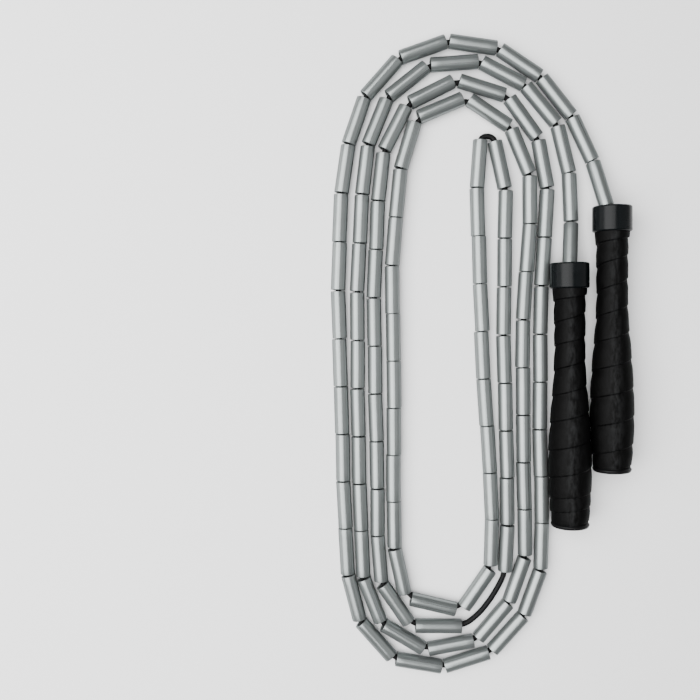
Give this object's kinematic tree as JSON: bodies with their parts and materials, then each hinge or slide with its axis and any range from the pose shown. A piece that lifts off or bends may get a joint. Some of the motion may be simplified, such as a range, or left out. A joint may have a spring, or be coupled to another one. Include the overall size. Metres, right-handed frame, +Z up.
{
  "type": "jump rope",
  "caption": "Beaded jump rope: tube beads threaded on a cord between two tape-wrapped spinning handles, laid out in loops on a flat surface.",
  "frame": {"origin": "on the surface the rope lies on, midway between the two handles", "axes": "+X from the left handle to the right one, +Y along both handles towards their collars, +Z up"},
  "size_m": [0.1589, 0.3413, 0.0228],
  "materials": {
    "bead": "satin pearl grey extruded tube, softened rims",
    "cord": "black braided polyester cord",
    "collar": "satin black moulding, smooth",
    "handle_tube": "plain black moulding, hidden under the tape",
    "grip_tape": "matte black elastic tape, wound with overlapping edges",
    "butt_plug": "smooth black cap",
    "washer": "plain natural nylon"
  },
  "bodies": {
    "rope": {"cord": "cord", "beads_01": "bead", "beads_02": "bead", "beads_03": "bead", "beads_04": "bead", "beads_05": "bead", "beads_06": "bead", "beads_07": "bead", "beads_08": "bead", "beads_09": "bead", "beads_10": "bead", "beads_11": "bead", "beads_12": "bead", "beads_13": "bead", "beads_14": "bead", "beads_15": "bead", "beads_16": "bead", "beads_17": "bead", "beads_18": "bead", "beads_19": "bead", "beads_20": "bead", "beads_21": "bead", "beads_22": "bead"},
    "right_cord_end": {"right_cord_tail": "cord", "right_stop_knot": "cord", "right_thrust_washer": "washer"},
    "right_handle": {"right_collar": "collar", "right_handle_tube": "handle_tube", "right_grip_tape": "grip_tape"},
    "right_plug": {"right_butt_plug": "butt_plug"},
    "left_cord_end": {"left_cord_tail": "cord", "left_stop_knot": "cord", "left_thrust_washer": "washer"},
    "left_handle": {"left_collar": "collar", "left_handle_tube": "handle_tube", "left_grip_tape": "grip_tape"},
    "left_plug": {"left_butt_plug": "butt_plug"}
  },
  "joints": [
    {"name": "right_handle_lift", "type": "hinge", "parent": "rope", "child": "right_cord_end", "pos_m": [0.0112, 0.0802, 0.0114], "axis": [-1, 0, 0], "range_deg": [0, 40]},
    {"name": "right_handle_spin", "type": "hinge", "parent": "right_cord_end", "child": "right_handle", "pos_m": [0.0112, 0.0802, 0.0114], "axis": [0, 1, 0], "continuous": true},
    {"name": "right_plug_pull", "type": "slide", "parent": "right_handle", "child": "right_plug", "axis": [0, -1, 0], "range_m": [0, 0.014]},
    {"name": "left_handle_lift", "type": "hinge", "parent": "rope", "child": "left_cord_end", "pos_m": [-0.0112, 0.0511, 0.0114], "axis": [-1, 0, 0], "range_deg": [0, 40]},
    {"name": "left_handle_spin", "type": "hinge", "parent": "left_cord_end", "child": "left_handle", "pos_m": [-0.0112, 0.0511, 0.0114], "axis": [0, 1, 0], "continuous": true},
    {"name": "left_plug_pull", "type": "slide", "parent": "left_handle", "child": "left_plug", "axis": [0, -1, 0], "range_m": [0, 0.014]}
  ]
}
